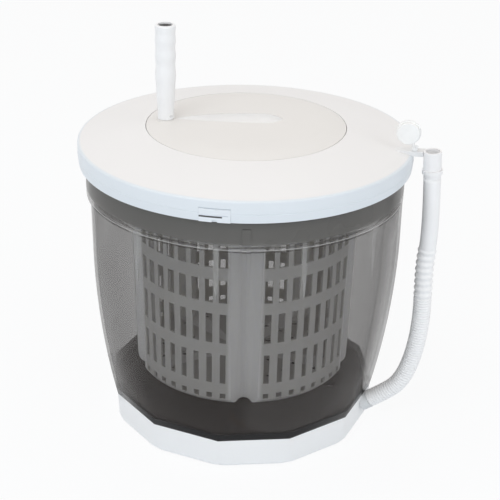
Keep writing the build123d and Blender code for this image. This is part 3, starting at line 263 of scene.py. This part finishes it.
def moulded(name, colour, roughness, grain=0.15, cloud=0.03):
    """Moulded plastic: a faint cloudiness, uneven gloss and a fine spark-eroded grain."""
    finish = Finish(name)
    flow = finish.noise(9.0, 3.0)
    finish.set("Base Color", finish.mix(flow, shade(colour, 1.0 - cloud), shade(colour, 1.0)))
    finish.set("Roughness", finish.noise(30.0, 4.0) * 0.12 + (roughness - 0.06))
    finish.bump(finish.noise(1800.0, 2.0), grain, GRAIN_DEPTH)
    return finish


def metal(name, colour, roughness):
    """Bare metal with fine turning marks."""
    finish = Finish(name)
    marks = finish.noise(700.0, 3.0, stretch=(1.0, 1.0, 12.0))
    finish.set("Base Color", finish.mix(marks, shade(colour, 0.82), shade(colour, 1.0)))
    finish.set("Metallic", 1.0)
    finish.set("Roughness", marks * 0.2 + (roughness - 0.1))
    finish.bump(marks, 0.2, 0.0001)
    return finish


def rubber(name, colour, roughness):
    finish = Finish(name)
    bloom = finish.noise(60.0, 5.0, 0.6)
    finish.set("Base Color", finish.mix(bloom, shade(colour, 0.9), shade(colour, 1.08)))
    finish.set("Roughness", bloom * 0.15 + (roughness - 0.08))
    finish.bump(finish.noise(1400.0, 3.0), 0.25, GRAIN_DEPTH)
    return finish


def smoked_tub():
    """Smoked clear plastic: each face passes seven tenths of what lies behind it, less at a slant.

    The band above the ledge is rough like frost and nearly opaque, its dark colour painted shade for the dark
    under the lid behind it, darker still at a slant. A painted highlight runs along the ledge, a pale lens of
    painted highlight runs down each corner from the round band to the flat sides, and the nearly opaque floor
    is painted dark for the shade under the basket.
    """
    finish = Finish("smoked_tub")
    flow = finish.noise(6.0, 3.0)
    height = finish.axis("Z")
    slant = finish.node("ShaderNodeLayerWeight", {}, {"Blend": 0.5}, "Facing")
    band = height.between(LEDGE + FROST_LOW, LEDGE + FROST_HIGH)
    floor = 1.0 - height.between(TUB_FLOOR - 0.0002, TUB_FLOOR + 0.0002)
    highlight_start = height.between(LEDGE + LINE_START, LEDGE + LINE_FULL)
    line = highlight_start * (1.0 - height.between(LEDGE + LINE_FADING, LEDGE + LINE_END))
    smoke = finish.mix(flow, (0.058, 0.049, 0.045, 1.0), (0.070, 0.060, 0.055, 1.0))
    # Painted shade: the band is made nearly opaque and dark for the shade under the lid behind it, darker
    # still at a slant
    frost_and_shade = finish.mix(slant.power(2.0), (0.135, 0.130, 0.122, 1.0), (0.050, 0.046, 0.042, 1.0))
    # Painted shade: the tub's floor is made nearly opaque and dark for the shade under the basket
    floor_shade = (0.012, 0.012, 0.013, 1.0)
    # Painted highlight: a pale lens down each corner, where the corners would catch the light
    lens_highlight_colour = (0.36, 0.355, 0.34, 1.0)
    # Painted highlight: a pale line along the ledge's edge, where the edge would catch the light
    ledge_highlight = (0.44, 0.43, 0.42, 1.0)
    from_corner = (finish.round_turn() * TUB_SIDES).to_nearest_whole()
    rise = height.between(LEDGE - LENS_LENGTH, LEDGE)
    reach = rise.power(0.5) * LENS_HALF_WIDTH
    lens = (reach - from_corner).between(0.0, LENS_EDGE) * (1.0 - highlight_start)
    lens = lens * (LENS_STRENGTH - rise * LENS_LOSS)
    colour = finish.mix(band, smoke, frost_and_shade)
    colour = finish.mix(floor, colour, floor_shade)
    colour = finish.mix(lens, colour, lens_highlight_colour)
    finish.set("Base Color", finish.mix(line, colour, ledge_highlight))
    clear = slant.power(3.0) * SLANT_ALPHA + SMOKE_ALPHA
    clear = clear.highest(band * FROST_SHADE_ALPHA).highest(floor * FLOOR_SHADE_ALPHA)
    clear = clear.highest(line * HIGHLIGHT_ALPHA).highest(lens * LENS_ALPHA)
    finish.set("Alpha", clear)
    finish.set("Roughness", finish.noise(14.0, 3.0) * 0.06 + 0.05 + band * 0.2)
    finish.set("IOR", TUB_IOR)
    finish.bump(finish.noise(9.0, 1.0), 0.02, 0.001)
    rays = finish.tree.nodes.new("ShaderNodeLightPath")
    through = finish.node("ShaderNodeBsdfTransparent", {}, {"Color": (0.975, 0.965, 0.955, 1.0)})
    blended = finish.node("ShaderNodeMixShader", {}, {0: Signal(rays.outputs["Is Shadow Ray"]),
                                                      1: Signal(finish.shader.outputs[0]), 2: through})
    finish.tree.links.new(blended.socket, finish.tree.nodes["Material Output"].inputs["Surface"])
    return finish


def lid_finish():
    """Warm white on the dome, and a cooler, darker white on the rim below it: painted shade, for the cool
    light that falls on the rim's side.
    """
    finish = moulded("lid_white", (0.86, 0.855, 0.85), 0.36)
    reach = (finish.axis("X").power(2.0) + finish.axis("Y").power(2.0)).root()
    rim = reach.between(DOME_REACH, RIM_REACH)
    dome = finish.mix(finish.noise(9.0, 3.0), (0.845, 0.835, 0.83, 1.0), (0.87, 0.86, 0.855, 1.0))
    # Painted shade: the rim is painted a darker, cooler white than the dome
    finish.set("Base Color", finish.mix(rim, dome, (0.755, 0.80, 0.84, 1.0)))
    return finish


def latch_finish():
    """The cool, darker white painted as shade on the lid's rim, with a painted shadow line across the latch's
    left part.
    """
    finish = moulded("latch_white", (0.78, 0.82, 0.86), 0.36)
    height = finish.axis("Z")
    foot = LATCH_GROOVE - LATCH_SHADOW_HEIGHT
    line = height.between(foot, foot + LATCH_SHADOW_EDGE)
    line = line * (1.0 - height.between(LATCH_GROOVE - LATCH_SHADOW_EDGE, LATCH_GROOVE))
    line = line * (1.0 - finish.axis("X").between(LATCH_SHADOW_FADING, LATCH_SHADOW_END))
    white = finish.mix(finish.noise(9.0, 3.0), (0.77, 0.81, 0.85, 1.0), (0.79, 0.83, 0.87, 1.0))
    # Painted shadow: a dark line under the groove, where shade falls in the gap
    finish.set("Base Color", finish.mix(line, white, (0.05, 0.05, 0.05, 1.0)))
    return finish


def disc_finish():
    """Painted light: the crowned top is tinted a warm cream for the warm light it reflects, and the walls of
    the recess, well below the crown, are painted white for how the hollow catches the light.
    """
    finish = moulded("disc_ivory", (0.81, 0.79, 0.765), 0.42)
    across = finish.axis("X")
    along = finish.axis("Y")
    spread = across * across + along * along
    crown = CROWN_HEIGHT - spread * (CROWN_DROP / CROWN_REACH ** 2)
    depth = crown - finish.axis("Z")
    recess_light = depth.between(RECESS_SHALLOW, RECESS_DEEP)
    recess_light = recess_light * (1.0 - spread.between(RECESS_REACH ** 2, RECESS_END ** 2))
    # Painted light: the warm tint on the top and the whiter recess stand for how each catches the light
    warm_lit_top = finish.mix(finish.noise(9.0, 3.0), (0.79, 0.77, 0.745, 1.0), (0.82, 0.80, 0.775, 1.0))
    finish.set("Base Color", finish.mix(recess_light, warm_lit_top, (0.84, 0.83, 0.82, 1.0)))
    return finish


def basket_finish():
    """Frosted white plastic, with the flutes painted paler, as painted light on their smooth hollows, and the
    ribbed strips between slots painted darker, as painted shade.
    """
    finish = moulded("basket_white", (0.90, 0.90, 0.885), 0.5, 0.1, 0.08)
    from_flute = ((finish.round_turn() - FLUTE_TURN) * FLUTES).to_nearest_whole()
    lit_flute = 1.0 - from_flute.between(FLUTE_FADING, FLUTE_END)
    shaded_webs = finish.mix(finish.noise(12.0, 3.0), (0.60, 0.59, 0.57, 1.0), (0.66, 0.65, 0.63, 1.0))
    # Painted light and shade: pale flutes, darker strips between the slots
    finish.set("Base Color", finish.mix(lit_flute, shaded_webs, (0.95, 0.94, 0.925, 1.0)))
    finish.set("Subsurface Weight", 0.35)
    finish.set("Subsurface Radius", (0.006, 0.006, 0.005))
    finish.set("Subsurface Scale", 1.0)
    return finish


def assign(finish, *nodes):
    for node in nodes:
        mesh = frame["nodes"][node].data
        mesh.materials.clear()
        mesh.materials.append(finish.material)


def select_only(piece):
    bpy.ops.object.select_all(action="DESELECT")
    piece.select_set(True)
    bpy.context.view_layer.objects.active = piece


def round_edges(finish, width, *nodes, stretch=1.0):
    """Stand-ins for CAD pieces with their sharp edges rounded, as a mould leaves them.

    A stretch above 1 makes a piece wider, which narrows the gaps beside it.
    """
    for node in nodes:
        solid = frame["nodes"][node]
        piece = bpy.data.objects.new(node + "_moulded", solid.data.copy())
        scene.collection.objects.link(piece)
        select_only(piece)
        bpy.ops.mesh.customdata_custom_splitnormals_clear()
        bpy.ops.object.mode_set(mode="EDIT")
        bpy.ops.mesh.select_all(action="SELECT")
        bpy.ops.mesh.remove_doubles(threshold=MERGE_DISTANCE)
        bpy.ops.mesh.dissolve_limited(angle_limit=math.radians(0.3))
        bpy.ops.mesh.select_all(action="SELECT")
        bpy.ops.transform.resize(value=(stretch, 1.0, 1.0), center_override=(0.0, 0.0, 0.0))
        bpy.ops.object.mode_set(mode="OBJECT")
        bevel = piece.modifiers.new("edge_round", "BEVEL")
        bevel.width = width
        bevel.segments = 2
        bevel.limit_method = "ANGLE"
        bevel.angle_limit = math.radians(SHARP_ANGLE)
        bevel.harden_normals = True
        bpy.ops.object.modifier_apply(modifier=bevel.name)
        bpy.ops.object.shade_smooth_by_angle(angle=math.radians(SHARP_ANGLE))
        piece.data.materials.clear()
        piece.data.materials.append(finish.material)
        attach(piece, solid["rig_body"])
        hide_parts(node)


def dress_solids():
    round_edges(smoked_tub(), 0.0006, "tub")
    round_edges(moulded("tray_white", (0.93, 0.93, 0.93), 0.38), 0.0005, "base_tray")
    round_edges(lid_finish(), 0.00025, "lid_cover")
    round_edges(latch_finish(), 0.00012, "front_latch", "back_latch", stretch=1.014)
    assign(moulded("clip_white", (0.86, 0.86, 0.86), 0.36), "hose_clip")
    round_edges(disc_finish(), 0.0004, "crank_disc")
    assign(moulded("handle_white", (0.91, 0.91, 0.915), 0.36), "crank_handle")
    assign(moulded("plug_dark", (0.035, 0.03, 0.028), 0.55, 0.3), "handle_end_plug")
    assign(basket_finish(), "basket", "basket_cover")
    assign(moulded("hose_white", (0.93, 0.92, 0.92), 0.4), "hose_cuff", "hose_collar")
    assign(rubber("stopper_white", (0.94, 0.94, 0.93), 0.5), "hose_stopper")
    assign(moulded("gear_nylon", (0.74, 0.72, 0.64), 0.45), "ring_gear", "sun_gear", "planet_gear_1",
           "planet_gear_2", "planet_gear_3", "glide_ring")
    assign(moulded("inner_white", (0.74, 0.75, 0.76), 0.45), "lid_underplate", "carrier_plate", "drive_shaft",
           "drain_elbow")
    assign(metal("steel", (0.60, 0.60, 0.61), 0.32), "base_screws", "basket_pivot_pin", "thrust_washer",
           "lid_screws", "shaft_clip", "planet_pins", "carrier_screws", "crank_spindle", "front_latch_pin",
           "back_latch_pin")
    assign(metal("satin_steel", (0.93, 0.93, 0.93), 0.65), "handle_hinge_pin")
    assign(metal("bush_brass", (0.70, 0.52, 0.25), 0.35), "basket_bush", "drive_bush")
    assign(rubber("rubber_grey", (0.06, 0.06, 0.065), 0.7), "rubber_feet")
    assign(rubber("seal_silicone", (0.55, 0.56, 0.57), 0.45), "drain_seal", "lid_gasket")


# Drain hose, from the spigot under the tub up to its cuff at the lid

HOSE_PLANE = -0.018
HOSE_POINTS = [
    (0.1422, 0.0270), (0.16484, 0.0417), (0.1754, 0.0557), (0.1825, 0.0744), (0.1879, 0.0998),
    (0.1907, 0.1317), (0.1899, 0.1655), (0.1895, 0.1930), (0.1917, 0.2165), (0.1917, 0.2515),
    (0.1899, 0.2865),
]
FINE_PITCH = 0.0029
FINE_RIBS = 50
COARSE_PITCH = 0.0070
COARSE_RIBS = 8
RIB_CREST = 0.0096
RIB_VALLEY = 0.0083
FINE_CREST = 0.0094
FINE_VALLEY = 0.0088
RIB_STEPS = 8
HOSE_SMOOTH = 0.00865
SMOOTH_LENGTH = 0.02
SMOOTH_STEP = 0.004
HOSE_BORE = 0.0070
BORE_STEPS = 60
HOSE_SIDES = 40


def hose_line():
    """Points of the hose's own smooth line, close together."""
    curve = bpy.data.curves.new("hose_line", "CURVE")
    curve.dimensions = "3D"
    spline = curve.splines.new("NURBS")
    spline.points.add(len(HOSE_POINTS) - 1)
    for point, (x, z) in zip(spline.points, HOSE_POINTS):
        point.co = (x, HOSE_PLANE, z, 1.0)
    spline.order_u = 3
    spline.use_endpoint_u = True
    spline.resolution_u = 24
    holder = bpy.data.objects.new("hose_line", curve)
    scene.collection.objects.link(holder)
    bpy.context.view_layer.update()
    mesh = bpy.data.meshes.new_from_object(holder)
    points = [vertex.co.copy() for vertex in mesh.vertices]
    bpy.data.objects.remove(holder)
    bpy.data.meshes.remove(mesh)
    return points


def at_length(points, places):
    """Point and direction at each length along a line of points."""
    found = []
    step = 0
    passed = 0.0
    for place in places:
        run = (points[step + 1] - points[step]).length
        while place > passed + run and step < len(points) - 2:
            passed += run
            step += 1
            run = (points[step + 1] - points[step]).length
        share = min(max((place - passed) / run, 0.0), 1.0)
        before = points[max(step - 1, 0)]
        after = points[min(step + 2, len(points) - 1)]
        found.append((points[step].lerp(points[step + 1], share), (after - before).normalized()))
    return found


def rib_profile(length):
    """Length along the hose and radius there: shallow fine ribs, then coarse ones, then a smooth end."""
    coarse_length = COARSE_RIBS * COARSE_PITCH
    fine_pitch = min(FINE_PITCH, (length - coarse_length - SMOOTH_LENGTH) / FINE_RIBS)
    stations = []
    place = 0.0
    for pitch, count, valley, crest in ((fine_pitch, FINE_RIBS, FINE_VALLEY, FINE_CREST),
                                        (COARSE_PITCH, COARSE_RIBS, RIB_VALLEY, RIB_CREST)):
        for _ in range(count):
            for step in range(RIB_STEPS):
                height = 0.5 - 0.5 * math.cos(2 * math.pi * step / RIB_STEPS)
                stations.append((place + pitch * step / RIB_STEPS, valley + height * (crest - valley)))
            place += pitch
    while place < length:
        stations.append((place, HOSE_SMOOTH))
        place += SMOOTH_STEP
    stations.append((length, HOSE_SMOOTH))
    return stations


def drain_hose():
    points = hose_line()
    length = sum((b - a).length for a, b in zip(points, points[1:]))
    stations = rib_profile(length)
    bore = [(length * step / BORE_STEPS, HOSE_BORE) for step in range(BORE_STEPS, -1, -1)]
    whole = stations + bore
    spots = at_length(points, [place for place, radius in stations])
    spots += reversed(at_length(points, [place for place, radius in reversed(bore)]))
    shell = bmesh.new()
    rings = []
    for (spot, along), (_, radius) in zip(spots, whole):
        side = Vector((0.0, 1.0, 0.0))
        up = along.cross(side).normalized()
        ring = []
        for corner in range(HOSE_SIDES):
            turn = 2 * math.pi * corner / HOSE_SIDES
            ring.append(shell.verts.new(spot + radius * (math.cos(turn) * side + math.sin(turn) * up)))
        rings.append(ring)
    for ring, following in zip(rings, rings[1:] + rings[:1]):
        for corner in range(HOSE_SIDES):
            beside = (corner + 1) % HOSE_SIDES
            shell.faces.new((ring[corner], ring[beside], following[beside], following[corner]))
    bmesh.ops.recalc_face_normals(shell, faces=shell.faces)
    mesh = bpy.data.meshes.new("drain_hose_tube")
    shell.to_mesh(mesh)
    shell.free()
    hose = bpy.data.objects.new("drain_hose_tube", mesh)
    scene.collection.objects.link(hose)
    for face in mesh.polygons:
        face.use_smooth = True
    mesh.materials.append(moulded("hose_ribbed_white", (0.95, 0.945, 0.945), 0.4).material)
    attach(hose, "hose")
    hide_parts("drain_hose")
    return length


# Floor, backdrop and light

AMBIENT = 0.70
BACKDROP_SHARE = 0.91
SIDE_TINT = (0.90, 0.94, 0.98, 1.0)
TOP_TINT = (1.0, 0.945, 0.90, 1.0)


def make_floor():
    bpy.ops.mesh.primitive_plane_add(size=9.0, location=(0.0, 0.0, -0.0002))
    floor = bpy.context.object
    floor.name = "floor"
    finish = Finish("floor_white")
    finish.set("Base Color", (0.80, 0.85, 0.90, 1.0))
    finish.set("Roughness", 0.9)
    finish.set("Specular IOR Level", 0.1)
    rays = finish.tree.nodes.new("ShaderNodeLightPath")
    seen = Signal(rays.outputs["Is Camera Ray"]).highest(Signal(rays.outputs["Is Glossy Ray"]))
    glow = finish.node("ShaderNodeEmission", {}, {"Color": (1.0, 1.0, 1.0, 1.0), "Strength": 1.0})
    lit = Signal(finish.shader.outputs[0])
    blended = finish.node("ShaderNodeMixShader", {}, {0: seen * BACKDROP_SHARE, 1: lit, 2: glow})
    output = finish.tree.nodes["Material Output"]
    finish.tree.links.new(blended.socket, output.inputs["Surface"])
    floor.data.materials.append(finish.material)


def make_world():
    """Soft light, warm from above and cool from the sides, and a white backdrop behind and in reflections."""
    world = bpy.data.worlds.new("studio")
    world.use_nodes = True
    tree = world.node_tree
    scene.world = world
    background = tree.nodes["Background"]
    rays = tree.nodes.new("ShaderNodeLightPath")
    seen = Signal(rays.outputs["Is Camera Ray"]).highest(Signal(rays.outputs["Is Glossy Ray"]))
    seen = seen.highest(Signal(rays.outputs["Is Transmission Ray"]))
    direction = add_node(tree, "ShaderNodeTexCoord", {}, {}, "Generated")
    up = add_node(tree, "ShaderNodeSeparateXYZ", {}, {"Vector": direction}, "Z").between(0.1, 0.8)
    sky = add_node(tree, "ShaderNodeMix", {"data_type": "RGBA"}, {0: up, 6: SIDE_TINT, 7: TOP_TINT}, 2)
    colour = add_node(tree, "ShaderNodeMix", {"data_type": "RGBA"},
                      {0: seen, 6: sky, 7: (1.0, 1.0, 1.0, 1.0)}, 2)
    level = seen * (1.0 - AMBIENT) + AMBIENT
    tree.links.new(colour.socket, background.inputs["Color"])
    tree.links.new(level.socket, background.inputs["Strength"])


def add_panel(name, place, aim, size, power, colour):
    light = bpy.data.lights.new(name, "AREA")
    light.color = colour
    light.shape = "RECTANGLE"
    light.size, light.size_y = size
    light.energy = power
    panel = bpy.data.objects.new(name, light)
    scene.collection.objects.link(panel)
    panel.location = place
    panel.rotation_euler = (Vector(aim) - Vector(place)).to_track_quat("-Z", "Y").to_euler()


def make_lights():
    middle = (0.0, 0.0, 0.21)
    add_panel("front_light", (-0.6, -1.9, 1.5), middle, (1.4, 1.0), 12.5, (0.88, 0.95, 1.0))
    add_panel("side_light", (1.7, -1.0, 1.0), middle, (1.0, 1.4), 6.0, (0.92, 0.965, 1.0))
    add_panel("top_light", (-0.5, -0.3, 2.2), middle, (1.2, 1.2), 6.5, (1.0, 1.0, 1.0))


set_camera()
hose_length = drain_hose()
dress_solids()
make_floor()
make_world()
make_lights()
scene.view_settings.view_transform = "Standard"

print("hose line length", hose_length)
